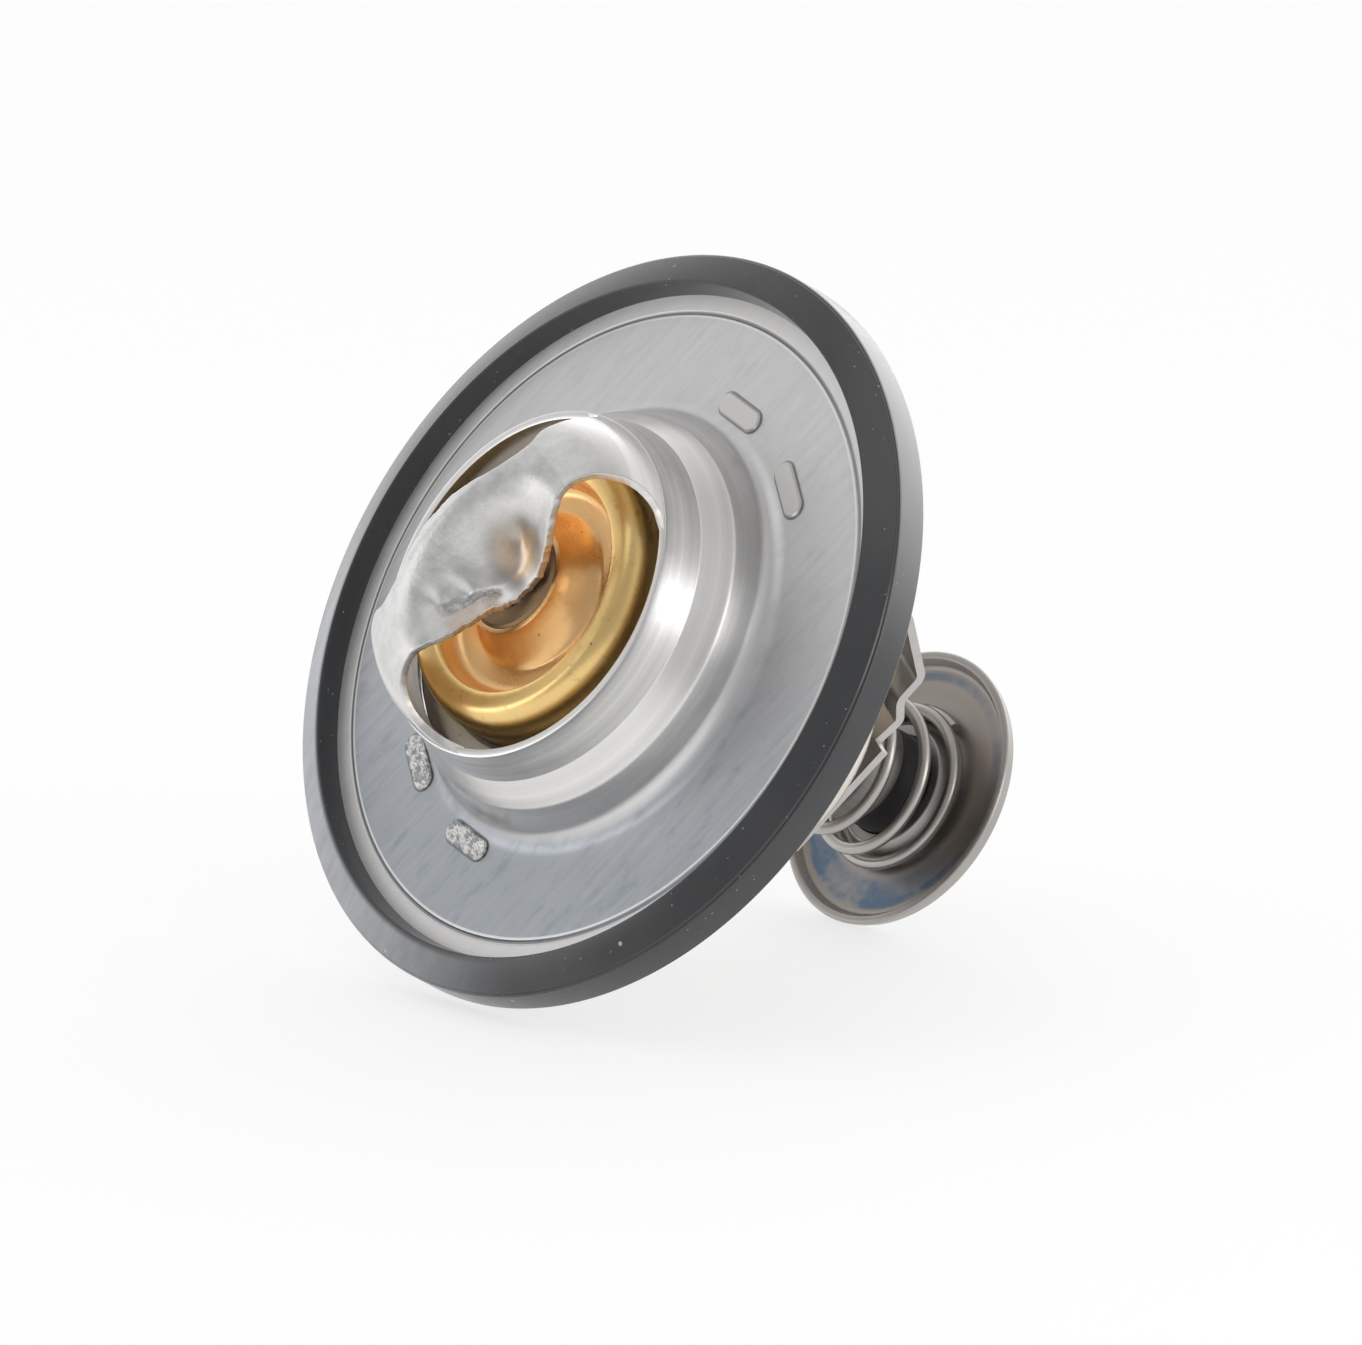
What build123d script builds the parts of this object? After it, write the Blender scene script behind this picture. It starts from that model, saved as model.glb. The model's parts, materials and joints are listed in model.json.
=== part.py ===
from build123d import *
import math
import os

# Engine thermostat with a sprung bypass valve, in millimetres.
# The axis is Z and the dome points to +Z. The flange's front face is z = 0.
# X runs along the strap and the spring frame's legs, Y across them.

# Clearances
press_gap = 0.02
running_gap = 0.05
seat_gap = 0.1
slot_gap = 0.1
free_gap = 0.35

# Flange, dome and strap: one stamping, given by its outer line
sheet = 0.8
flange_r = 31.8
rim_wide = 3.2
rim_step_r = flange_r - rim_wide
rim_slope_wide = 0.3
rim_face_r = rim_step_r - rim_slope_wide
rim_drop = 0.1
ledge_top_r = 16.35
ledge_top_z = 6.3
ledge_wide = 1.65
ledge_low_r = ledge_top_r + ledge_wide
ledge_low_z = 3.9
riser_lean = 1.1
riser_foot_r = ledge_low_r + riser_lean
wall_lean = 0.95
wall_top_r = ledge_top_r - wall_lean
wall_top_z = 10.4
crown_edge_r = 12.0
crown_r = 24.3
crown_top = 18.7
riser_foot_bend = 2.2
ledge_low_bend = 1.2
ledge_top_bend = 0.5

# Windows in the dome, seen from above: the strap's edges from the middle outwards
window_floor_z = 10.0
window_corner = 2.4
front_edge = [(0, 3.6), (3.0, 3.9), (6.0, 4.5), (8.6, 4.2), (10.6, 3.1), (12.4, 3.2), (13.6, 4.6)]
rear_edge = [(0, 4.8), (3.0, 4.8), (6.0, 4.9), (8.6, 5.2), (10.2, 5.6), (11.4, 6.4), (13.2, 6.6)]
window_side_x = 13.9
window_side_y = 8.0
window_reach = 20.0
strap_span = 8.6

# Guide bush's top end, which the pinched strap stays clear of
boss_rim_z = 11.4
guide_proud = 0.3
guide_top_z = boss_rim_z + guide_proud

# Pinch of the strap onto the piston: a wide trough open to the front and a dimple in it
strap_over_guide = 1.4
dimple_depth = 1.6
trough_depth = crown_top - guide_top_z - strap_over_guide - dimple_depth
trough_width = 5.0
dimple_width = 3.0
ridge_y = 3.4
trough_y = -0.6
punch_depth = 0.9
punch_x = 3.6
punch_y = -1.0
punch_width = 1.2
strap_stations = 15
strap_points = 9

# Gasket round the flange's edge
gasket_cover = 1.7
gasket_r = flange_r + gasket_cover
gasket_front_z = 0.74
gasket_lip_z = 2.0
gasket_grip = 1.75
gasket_foot_r = flange_r - gasket_grip
gasket_lean = 0.43
gasket_lip_r = gasket_foot_r + gasket_lean
gasket_back_z = -2.54
gasket_back_wide = 2.2
gasket_back_r = flange_r - gasket_back_wide
gasket_step = 0.22
gasket_bend = 0.15
gasket_step_bend = 0.08

# Wax element
capsule_r = 8.2
capsule_wall = 0.8
capsule_bore = capsule_r - capsule_wall
sleeve_wall = 1.05
washer_high = 0.8
seal_high = 1.2
seal_wall = 1.1
wax_under = 1.15

# Piston and its guide bush
piston_r = 2.75
piston_foot_z = -10.0
piston_tip_r = 1.4
piston_taper = 2.2
guide_r = 4.6
guide_edge = 0.25
shoulder_wide = 1.5
shoulder_r = guide_r + shoulder_wide
collar_r = capsule_bore - running_gap
collar_top_z = 6.2
collar_foot_z = 2.0
sleeve_foot_z = piston_foot_z - 2 * running_gap - sleeve_wall
capsule_foot_z = sleeve_foot_z - wax_under - capsule_wall
capsule_cone = 1.4
capsule_cone_z = capsule_foot_z - capsule_cone

# Main valve
boss_lip = 0.38
boss_rim_r = guide_r + press_gap + boss_lip
boss_flare = 2.2
boss_foot_r = boss_rim_r + boss_flare
recess_z = 8.1
recess_wide = 2.05
recess_r = boss_foot_r + recess_wide
recess_lean = 0.6
ring_edge_r = recess_r + recess_lean
ring_crest_z = 10.6
ring_edge_drop = 0.25
ring_edge_z = ring_crest_z - ring_edge_drop
ring_crest_in = 1.25
ring_crest_r = ring_edge_r + ring_crest_in
ring_crest_out = 1.65
ring_r = ring_crest_r + ring_crest_out
ring_wall_z = 7.4
rim_low_z = 3.75
rim_high = 1.15
rim_top_z = rim_low_z + rim_high
valve_wall = 1.1
valve_foot_z = recess_z - valve_wall
valve_bend = 0.3

# Bypass valve, and the stem's lower end that it slides on
pan_sheet = 0.75
pan_floor_r = 11.2
pan_lean = 1.3
pan_r = pan_floor_r + pan_lean
pan_floor_z = -38.55
pan_high = 1.0
pan_front_z = pan_floor_z + pan_high
stem_bush_r = 4.43
hub_rim = 0.97
hub_top_r = stem_bush_r + hub_rim
hub_flare = 1.1
hub_foot_r = hub_top_r + hub_flare
hub_wall = 0.5
hub_high = 1.65
hub_top_z = pan_floor_z + hub_high
pan_bend = 1.1
pan_rim_bend = 0.25
hub_foot_bend = 0.4
hub_top_bend = 0.15

# Spring frame
frame_sheet = 0.75
leg_out = 2.0
leg_top_x = riser_foot_r + leg_out
leg_foot_x = 17.2
leg_foot_z = -17.9
bend_x = 12.9
seat_wide = 2.8
ledge_in_x = bend_x - seat_wide
plate_slope = 1.6
plate_step_x = ledge_in_x - plate_slope
plate_flat_x = 5.7
plate_z = -25.2
plate_sag = 0.3
plate_low_z = plate_z - plate_sag
ledge_rise = 1.25
ledge_z = plate_z + ledge_rise
leg_half = 8.0
leg_neck = 7.6
tongue_half = 9.5
tongue_x = 5.8
tab_y = 5.43
tab_x = leg_top_x - frame_sheet / 2
tab_wide = 4.2
head_long = 5.7
head_wide = 2.0
head_high = 0.3
collar_high = 1.5
collar_wall = 0.7
frame_bends = [1.5, 3.0, 1.6, 0.9, 1.2, 1.5]

# Stem, its bush and what holds the bypass valve
stem_r = 5.05
stem_step = 0.25
stem_step_r = stem_r - stem_step
stem_step_gap = 0.15
stem_step_z = plate_z - stem_step_gap
stem_pin_r = 2.6
bush_foot_z = hub_top_z - pan_sheet - slot_gap
bush_long = 4.75
stem_shoulder_z = bush_foot_z + bush_long
retainer_r = hub_top_r - free_gap
retainer_high = 0.6
clip_wide = 1.5
clip_r = stem_pin_r + clip_wide
clip_high = 0.6
clip_gap = 2.4
groove_deep = 0.65
groove_r = stem_pin_r - groove_deep
stem_tip = 0.27
stem_end_z = bush_foot_z - retainer_high - clip_high - stem_tip

# Springs
main_wire = 2.0
spring_in = 0.8
main_low_r = bend_x - spring_in - main_wire / 2
main_high_r = 13.5
main_turns = 5.5
main_end_turns = 0.7
main_end_rise = 0.25
bypass_wire = 1.1
bypass_low_r = hub_foot_r + slot_gap + bypass_wire / 2
coil_gap = 0.45
bypass_high_r = stem_step_r + coil_gap + bypass_wire / 2
bypass_turns = [0, 0.75, 1.25, 3.25, 4.25]
bypass_rises = [0, 0.5, 1.6, 9.7, 11.55]
seat_rim = 0.25
seat_r = bypass_high_r + bypass_wire / 2 + seat_rim
seat_high = 0.6


def turned(corners, bends=0):
    """Turn a closed outline of (radius, height) corners round Z."""
    radii = [bends] * len(corners) if isinstance(bends, (int, float)) else bends
    with BuildSketch(Plane.XZ) as outline:
        with BuildLine():
            FilletPolyline(*corners, radius=radii, close=True)
        make_face()
    return revolve(outline.sketch, axis=Axis.Z)


def turned_sheet(draw, thickness):
    """Turn an open line and the same line moved inwards by the sheet's thickness."""
    with BuildSketch(Plane.XZ) as outline:
        with BuildLine():
            draw()
            offset(amount=thickness, side=Side.LEFT, kind=Kind.INTERSECTION)
        make_face()
    return revolve(outline.sketch, axis=Axis.Z)


def round_bar(radius, low, high):
    """Upright cylinder between two heights."""
    return Pos(0, 0, low) * extrude(Circle(radius), amount=high - low)


def ring(outer, inner, low, high):
    """Upright tube between two heights."""
    return Pos(0, 0, low) * extrude(Circle(outer) - Circle(inner), amount=high - low)


def along(points, x):
    """Value at x of a line of straight runs through the points."""
    for (x0, y0), (x1, y1) in zip(points, points[1:]):
        if x <= x1:
            return y0 + (y1 - y0) * (x - x0) / (x1 - x0)
    return points[-1][1]


def smooth(share):
    """Ease from 0 to 1 while the share goes from 0 to 1."""
    held = min(max(share, 0.0), 1.0)
    return held * held * (3 - 2 * held)


def bell(distance, width):
    """Bell curve, 1 in the middle."""
    return math.exp(-(distance / width) ** 2)


# Dome
def crown_height(radius):
    """Height of the crown's outer face."""
    return crown_top - crown_r + math.sqrt(crown_r ** 2 - radius ** 2)


def draw_dome():
    """Outer line of the stamping, from the flange's edge to the axis."""
    edge = Vector(crown_edge_r, crown_height(crown_edge_r))
    fall = crown_edge_r / math.sqrt(crown_r ** 2 - crown_edge_r ** 2)
    ledge_top = Vector(ledge_top_r, ledge_top_z)
    lean = (ledge_top_r - wall_top_r) / (wall_top_z - ledge_top_z)
    meet_z = (edge.Y - fall * (ledge_top_r + lean * ledge_top_z - edge.X)) / (1 - fall * lean)
    meet = Vector(ledge_top_r - lean * (meet_z - ledge_top_z), meet_z)
    wall_way = (meet - ledge_top).normalized()
    shoulder_foot = meet - wall_way * (edge - meet).length
    corners = [(flange_r, -rim_drop), (rim_step_r, -rim_drop), (rim_face_r, 0), (riser_foot_r, 0),
               (ledge_low_r, ledge_low_z), ledge_top, shoulder_foot]
    bends = [0, 0, riser_foot_bend, ledge_low_bend, ledge_top_bend]
    shell = FilletPolyline(*corners, radius=bends)
    shoulder = TangentArc(shell @ 1, edge, tangent=wall_way)
    middle = crown_edge_r / 2
    ThreePointArc(shoulder @ 1, (middle, crown_height(middle)), (0, crown_top))


def window_cutter(edge, side):
    """Solid that cuts one window, with the strap's edge as its inner boundary."""
    right = [(x, side * y) for x, y in edge if x > strap_span]
    left = [(-x, y) for x, y in reversed(right)]
    start = (strap_span, side * along(edge, strap_span))
    outer = [(window_side_x, side * window_side_y), (window_side_x, side * window_reach)]
    corners = [start] + right + outer + [(-x, y) for x, y in reversed(outer)] + left
    corners.append((-start[0], start[1]))
    plan = make_face(Polyline(*corners, close=True))
    block = Pos(0, 0, window_floor_z) * extrude(plan, amount=crown_top)
    foot = block.faces().sort_by(Axis.Z)[0]
    sides = [e for e in foot.edges() if abs(e.center().X) > strap_span and e.length > window_corner]
    return fillet(sides, window_corner)


# Pinched middle of the strap
def strap_height(x, y):
    """Height of the strap's outer face: the crown less the trough, the dimple and the punch marks."""
    slope = smooth((ridge_y - y) / (ridge_y - trough_y))
    fade = 1 - smooth((abs(x) - strap_span * 0.72) / (strap_span * 0.28))
    pinch = trough_depth * bell(x, trough_width) + dimple_depth * bell(x, dimple_width)
    punch = punch_depth * bell(abs(x) - punch_x, punch_width) * bell(y - punch_y, punch_width)
    return crown_height(math.hypot(x, y)) - fade * (pinch * slope + punch)


def strap_inside(x, y):
    """Height of the strap's inner face, one sheet below along the slope."""
    step = 0.01
    rise_x = (strap_height(x + step, y) - strap_height(x - step, y)) / (2 * step)
    rise_y = (strap_height(x, y + step) - strap_height(x, y - step)) / (2 * step)
    return strap_height(x, y) - sheet * math.sqrt(1 + rise_x ** 2 + rise_y ** 2)


def crown_inside(x, y):
    """Height of the crown's inner face, where the strap joins it."""
    return crown_top - crown_r + math.sqrt((crown_r - sheet) ** 2 - x ** 2 - y ** 2)


def strap_section(x):
    """Closed outline across the strap at one place along it."""
    front = -along(front_edge, abs(x))
    rear = along(rear_edge, abs(x))
    across = [front + (rear - front) * i / (strap_points - 1) for i in range(strap_points)]
    joins = abs(x) > strap_span - press_gap
    inside = crown_inside if joins else strap_inside
    over = [(x, y, strap_height(x, y)) for y in across]
    under = [(x, y, inside(x, y)) for y in reversed(across)]
    middle = strap_points // 2
    top = ThreePointArc(over[0], over[middle], over[-1]) if joins else Spline(*over)
    low = ThreePointArc(under[0], under[middle], under[-1]) if joins else Spline(*under)
    wire = Wire([top, Line(top @ 1, low @ 0), low, Line(low @ 1, top @ 0)])
    return Face(wire)


def pinched_strap():
    """Middle of the strap as one skin over its sections."""
    places = [strap_span * (2 * i / (strap_stations - 1) - 1) for i in range(strap_stations)]
    return loft([strap_section(x) for x in places])


def tab_places():
    """Places of the four staked tabs, each lying along its circle round Z."""
    spread = math.degrees(math.atan2(tab_y, tab_x))
    angles = [spread, -spread, 180 + spread, 180 - spread]
    return [Rot(0, 0, angle) * Pos(math.hypot(tab_x, tab_y), 0, 0) * Rot(0, 0, 90) for angle in angles]


def flange_housing():
    """Flange, dome and strap, with slots for the frame's tabs."""
    shell = turned_sheet(draw_dome, sheet)
    shell -= window_cutter(front_edge, -1)
    shell -= window_cutter(rear_edge, 1)
    gap = Box(2 * strap_span, 2 * window_reach, crown_top)
    shell -= Pos(0, 0, window_floor_z + crown_top / 2) * gap
    shell += pinched_strap()
    slot = SlotOverall(tab_wide + 2 * slot_gap, frame_sheet + 2 * slot_gap)
    for place in tab_places():
        shell -= place * Pos(0, 0, -2 * sheet) * extrude(slot, amount=4 * sheet)
    return shell


# Gasket
def rim_gasket():
    """Rubber ring with a groove that holds the flange's edge."""
    groove_top = -rim_drop
    groove_low = groove_top - sheet
    step_r = gasket_r - gasket_step
    corners = [(gasket_r, gasket_back_z), (gasket_r, gasket_front_z - gasket_step),
               (step_r, gasket_front_z - gasket_step), (step_r, gasket_front_z),
               (gasket_lip_r, gasket_lip_z), (gasket_foot_r, groove_top), (flange_r + press_gap, groove_top),
               (flange_r + press_gap, groove_low), (gasket_back_r, groove_low),
               (gasket_back_r, gasket_back_z)]
    bends = [2 * gasket_bend, gasket_step_bend, 0, gasket_step_bend, gasket_bend, 0, 0, 0, 0, 2 * gasket_bend]
    return turned(corners, bends)


# Piston and guide
def piston():
    """Steel pin from the strap's dimple into the rubber sleeve."""
    top = strap_inside(0, 0) - running_gap
    corners = [(0, piston_foot_z), (piston_tip_r, piston_foot_z), (piston_r, piston_foot_z + piston_taper),
               (piston_r, top - guide_edge), (piston_r - guide_edge, top), (0, top)]
    return turned(corners)


def guide_bush():
    """Bronze bush with a shoulder and a collar that the capsule is rolled over."""
    bore = piston_r + running_gap
    pocket_r = bore + seal_wall
    pocket_z = collar_foot_z + seal_high
    corners = [(bore, guide_top_z), (guide_r - guide_edge, guide_top_z), (guide_r, guide_top_z - guide_edge),
               (guide_r, valve_foot_z), (shoulder_r, valve_foot_z), (shoulder_r, collar_top_z),
               (collar_r, collar_top_z), (collar_r, collar_foot_z), (pocket_r, collar_foot_z),
               (pocket_r, pocket_z), (bore, pocket_z)]
    return turned(corners)


def piston_seal():
    """Wiper ring in the guide bush's pocket."""
    outer = piston_r + running_gap + seal_wall - press_gap
    return ring(outer, piston_r + running_gap, collar_foot_z, collar_foot_z + seal_high)


def sleeve_washer():
    """Hard washer between the guide bush and the rubber sleeve."""
    return ring(collar_r, piston_r + running_gap, collar_foot_z - washer_high, collar_foot_z)


def rubber_sleeve():
    """Rubber tube with a closed end and a flange under the washer."""
    bore = piston_r + 2 * running_gap
    outer = bore + sleeve_wall
    top = collar_foot_z - washer_high
    flange_z = top - sleeve_wall
    pit_z = sleeve_foot_z + sleeve_wall
    corners = [(0, sleeve_foot_z), (outer - sleeve_wall, sleeve_foot_z), (outer, pit_z), (outer, flange_z), (collar_r, flange_z), (collar_r, top), (bore, top),
               (bore, pit_z + piston_taper), (piston_tip_r + 2 * running_gap, pit_z), (0, pit_z)]
    return turned(corners)


# Main valve
def ledge_r(height, inwards):
    """Radius of the dome's ledge at a height, on the line moved inwards."""
    run = ledge_low_r - ledge_top_r
    rise = ledge_top_z - ledge_low_z
    shift = inwards * math.hypot(run, rise) / rise
    return ledge_low_r - shift - run * (height - ledge_low_z) / rise


def draw_valve_top():
    """Upper line of the valve from its seat edge in to the boss."""
    seat = sheet + seat_gap
    corners = [(ledge_r(rim_low_z, seat), rim_low_z), (ledge_r(rim_top_z, seat), rim_top_z),
               (ring_r, rim_top_z), (ring_r, ring_wall_z)]
    rim = FilletPolyline(*corners, radius=[0.4, 0.6])
    crest = Spline(rim @ 1, (ring_crest_r, ring_crest_z), tangents=((0, 1), (-1, 0)))
    edge = Spline(crest @ 1, (ring_edge_r, ring_edge_z), tangents=((-1, 0), (-1, -0.6)))
    floor = FilletPolyline(edge @ 1, (recess_r, recess_z), (boss_foot_r, recess_z), radius=[0.45])
    flare = Spline(floor @ 1, (boss_rim_r, boss_rim_z), tangents=((-1, 0.25), (-0.25, 1)))
    return flare


def main_valve():
    """Brass valve, hollow below its ring, pressed on the guide bush."""
    bore = guide_r + press_gap
    foot_r = ledge_r(rim_low_z, sheet + seat_gap)
    hollow_r = ring_r - valve_wall
    hollow_z = ring_crest_z - valve_wall - guide_edge
    under_z = rim_top_z - valve_wall
    with BuildSketch(Plane.XZ) as outline:
        with BuildLine():
            flare = draw_valve_top()
            under = FilletPolyline(flare @ 1, (bore, boss_rim_z), (bore, valve_foot_z),
                                   (ring_edge_r, valve_foot_z), (ring_edge_r + guide_edge, hollow_z),
                                   (hollow_r - guide_edge, hollow_z), (hollow_r, under_z),
                                   (foot_r - valve_wall, under_z), (foot_r, rim_low_z),
                                   radius=[0, 0, 0] + [valve_bend] * 3 + [0])
        make_face()
    return revolve(outline.sketch, axis=Axis.Z)


# Wax element
def wax_capsule():
    """Brass cup, its mouth rolled in over the guide bush's collar."""
    bore = capsule_bore
    lip_r = shoulder_r + press_gap
    inner_z = capsule_foot_z + capsule_wall
    corners = [(0, capsule_cone_z), (stem_r, capsule_cone_z), (capsule_r, capsule_foot_z),
               (capsule_r, valve_foot_z), (lip_r, valve_foot_z), (lip_r, collar_top_z),
               (bore, collar_top_z), (bore, inner_z), (0, inner_z)]
    bends = [0, 0.6, 1.0, 0.6, 0, 0, 0, 0.5, 0]
    return turned(corners, bends)


def wax_charge():
    """Wax round the rubber sleeve, filling the cup."""
    bore = capsule_bore - press_gap
    sleeve_r = piston_r + 2 * running_gap + sleeve_wall + press_gap
    top = collar_foot_z - washer_high - sleeve_wall
    low = capsule_foot_z + capsule_wall
    pit_z = sleeve_foot_z - press_gap
    corners = [(sleeve_r, top), (bore, top), (bore, low + capsule_wall), (bore - capsule_wall, low),
               (0, low), (0, pit_z), (sleeve_r, pit_z)]
    return turned(corners)


# Stem and bypass parts
def element_stem():
    """Stem pressed under the cup, stepped for the seat, the bush and the clip."""
    clip_top = bush_foot_z - retainer_high
    clip_low = clip_top - clip_high
    corners = [(0, capsule_cone_z), (stem_r, capsule_cone_z), (stem_r, stem_step_z),
               (stem_step_r, stem_step_z), (stem_step_r, stem_shoulder_z), (stem_pin_r, stem_shoulder_z),
               (stem_pin_r, clip_top), (groove_r, clip_top), (groove_r, clip_low),
               (stem_pin_r, clip_low), (stem_pin_r, stem_end_z), (0, stem_end_z)]
    return turned(corners)


def spring_seat():
    """Washer against the stem's step, over the bypass spring."""
    return ring(seat_r, stem_step_r + press_gap, stem_step_z - seat_high, stem_step_z)


def stem_bush():
    """Black sleeve that the bypass valve slides on."""
    bore = stem_pin_r + press_gap
    return ring(stem_bush_r, bore, bush_foot_z, stem_shoulder_z)


def retaining_washer():
    """Washer under the bypass valve's raised middle."""
    return ring(retainer_r, stem_pin_r + press_gap, bush_foot_z - retainer_high, bush_foot_z)


def retaining_clip():
    """Open clip in the groove at the stem's end."""
    top = bush_foot_z - retainer_high
    clip = ring(clip_r, groove_r + press_gap, top - clip_high, top)
    mouth = Pos(0, -clip_r / 2, top) * Box(clip_gap, clip_r, 4 * clip_high)
    return clip - mouth


def bypass_valve():
    """Pan with a raised, pierced middle that slides on the stem bush."""
    bore = stem_bush_r + running_gap
    low = pan_floor_z - pan_sheet
    hub_low = hub_top_z - pan_sheet
    edge_r = pan_floor_r + pan_sheet
    hub_lean = (hub_foot_r - hub_top_r) * pan_sheet / (hub_top_z - pan_floor_z)
    corners = [(bore, hub_low), (hub_top_r + hub_lean - hub_wall, hub_low), (hub_foot_r - hub_wall, low),
               (edge_r, low), (pan_r, pan_front_z), (pan_r - pan_sheet, pan_front_z),
               (pan_floor_r, pan_floor_z), (hub_foot_r, pan_floor_z), (hub_top_r, hub_top_z),
               (bore, hub_top_z)]
    bends = [0, 0, hub_foot_bend, pan_bend, pan_rim_bend, pan_rim_bend, 2 * pan_rim_bend,
             hub_foot_bend, hub_top_bend, 0]
    return turned(corners, bends)


def wound_wire(wire, low_r, high_r, stations):
    """Wire wound round Z: each station is a count of turns and a height."""
    total = stations[-1][0]
    steps = round(total * 14)
    route = []
    for i in range(steps + 1):
        turn = total * i / steps
        radius = low_r + (high_r - low_r) * turn / total
        angle = 2 * math.pi * turn
        route.append((radius * math.cos(angle), radius * math.sin(angle), along(stations, turn)))
    path = Spline(*route)
    start = Plane(path @ 0, z_dir=path % 0)
    return sweep(start * Circle(wire / 2), path=path, is_frenet=True)


def main_spring():
    """Main spring between the frame's ledge and the valve's rim."""
    low = ledge_z + frame_sheet + main_wire / 2
    high = rim_top_z - valve_wall - main_wire / 2
    stations = [(0, low), (main_end_turns, low + main_end_rise),
                (main_turns - main_end_turns, high - main_end_rise), (main_turns, high)]
    return wound_wire(main_wire, main_low_r, main_high_r, stations)


def bypass_spring():
    """Bypass spring between the pan's floor and the washer on the stem."""
    low = pan_floor_z + bypass_wire / 2
    high = stem_step_z - seat_high - bypass_wire / 2
    heights = [low + (high - low) * rise / bypass_rises[-1] for rise in bypass_rises]
    return wound_wire(bypass_wire, bypass_low_r, bypass_high_r, list(zip(bypass_turns, heights)))


# Spring frame
def draw_frame():
    """Outer line of the frame from one leg's top to the other's."""
    right = [(leg_top_x, 0), (leg_top_x, -2 * sheet), (leg_foot_x, leg_foot_z), (bend_x, ledge_z),
             (ledge_in_x, ledge_z), (plate_step_x, plate_low_z), (plate_flat_x, plate_z)]
    left = [(-x, z) for x, z in reversed(right)]
    FilletPolyline(*right, *left, radius=frame_bends + frame_bends[::-1])


def frame_plan():
    """Outline of the frame seen from above."""
    right = [(tongue_x, tongue_half), (tongue_x, leg_half), (leg_foot_x, leg_half), (leg_top_x, leg_neck)]
    quarter = right + [(leg_top_x + frame_sheet, leg_neck)]
    lower = [(x, -y) for x, y in reversed(quarter)]
    half = quarter + lower
    other = [(-x, -y) for x, y in half]
    return make_face(Polyline(*half, *other, close=True))


def spring_frame():
    """Bent frame: two legs, a bottom plate with a pierced collar and four staked tabs."""
    with BuildSketch(Plane.XZ) as outline:
        with BuildLine():
            draw_frame()
            offset(amount=frame_sheet, side=Side.RIGHT, kind=Kind.INTERSECTION)
        make_face()
    ribbon = extrude(outline.sketch, amount=tongue_half, both=True)
    depth = -2 * plate_low_z
    frame = ribbon & (Pos(0, 0, -depth) * extrude(frame_plan(), amount=depth - sheet))
    hole_r = stem_r + free_gap
    plate_top = plate_z + frame_sheet
    frame += ring(hole_r + collar_wall, hole_r, plate_z, plate_top + collar_high)
    frame -= round_bar(hole_r, -depth, plate_top + collar_high)
    head = extrude(SlotOverall(head_long, head_wide), amount=head_high)
    head = chamfer(head.faces().sort_by(Axis.Z)[-1].edges(), head_high / 2)
    stalk = extrude(SlotOverall(tab_wide, frame_sheet), amount=sheet)
    for place in tab_places():
        frame += place * Pos(0, 0, -sheet) * stalk
        frame += place * head
    return frame


nodes = {
    "flange_housing": flange_housing,
    "rim_gasket": rim_gasket,
    "main_valve": main_valve,
    "guide_bush": guide_bush,
    "piston": piston,
    "piston_seal": piston_seal,
    "sleeve_washer": sleeve_washer,
    "rubber_sleeve": rubber_sleeve,
    "wax_capsule": wax_capsule,
    "wax_charge": wax_charge,
    "main_spring": main_spring,
    "spring_frame": spring_frame,
    "element_stem": element_stem,
    "spring_seat": spring_seat,
    "stem_bush": stem_bush,
    "bypass_spring": bypass_spring,
    "bypass_valve": bypass_valve,
    "retaining_washer": retaining_washer,
    "retaining_clip": retaining_clip,
}

solids = {name: make() for name, make in nodes.items()}
solids["spring_frame"] -= solids["flange_housing"]

os.makedirs("parts", exist_ok=True)
for name, solid in solids.items():
    export_step(solid, f"parts/{name}.step")
    print(name, round(solid.volume, 2), "mm3")
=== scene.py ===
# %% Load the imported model
import json
import math

import bmesh
import bpy
import numpy as np
from mathutils import Matrix, Vector

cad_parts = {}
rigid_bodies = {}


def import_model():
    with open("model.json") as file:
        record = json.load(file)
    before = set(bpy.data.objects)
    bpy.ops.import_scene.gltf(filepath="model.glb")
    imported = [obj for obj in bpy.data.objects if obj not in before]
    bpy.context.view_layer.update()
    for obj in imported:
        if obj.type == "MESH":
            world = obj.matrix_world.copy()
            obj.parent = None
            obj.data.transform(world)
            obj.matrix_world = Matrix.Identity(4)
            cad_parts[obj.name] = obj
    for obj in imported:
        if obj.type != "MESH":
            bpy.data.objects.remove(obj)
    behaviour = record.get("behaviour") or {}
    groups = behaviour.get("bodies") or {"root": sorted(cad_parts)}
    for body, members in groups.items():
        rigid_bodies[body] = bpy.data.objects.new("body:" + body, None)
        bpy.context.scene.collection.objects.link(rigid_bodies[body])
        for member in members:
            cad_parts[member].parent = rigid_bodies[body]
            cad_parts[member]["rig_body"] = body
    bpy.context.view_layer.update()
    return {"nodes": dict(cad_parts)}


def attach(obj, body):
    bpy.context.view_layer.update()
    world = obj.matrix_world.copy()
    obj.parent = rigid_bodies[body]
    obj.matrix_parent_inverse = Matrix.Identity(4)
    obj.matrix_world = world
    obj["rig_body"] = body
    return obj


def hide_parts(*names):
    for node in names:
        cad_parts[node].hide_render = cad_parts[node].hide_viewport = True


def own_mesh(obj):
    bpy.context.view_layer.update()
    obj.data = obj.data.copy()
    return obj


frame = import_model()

# %% [markdown]
# The thermostat is a stack of turned and stamped parts on one axis, so nearly every
# visible piece is a line turned round Z. The exceptions are the strap, which was
# pinched onto the piston, and the springs. Sizes are in millimetres, as such parts are
# drawn, and one factor turns them into Blender's metres.

# %% Units and curves
MM = 0.001
ROUND = 2 * math.pi


def smoothstep(share):
    """Ease in and out: 3s^2 - 2s^3 with s held between 0 and 1."""
    held = np.clip(share, 0.0, 1.0)
    return held * held * (3 - 2 * held)


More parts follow.
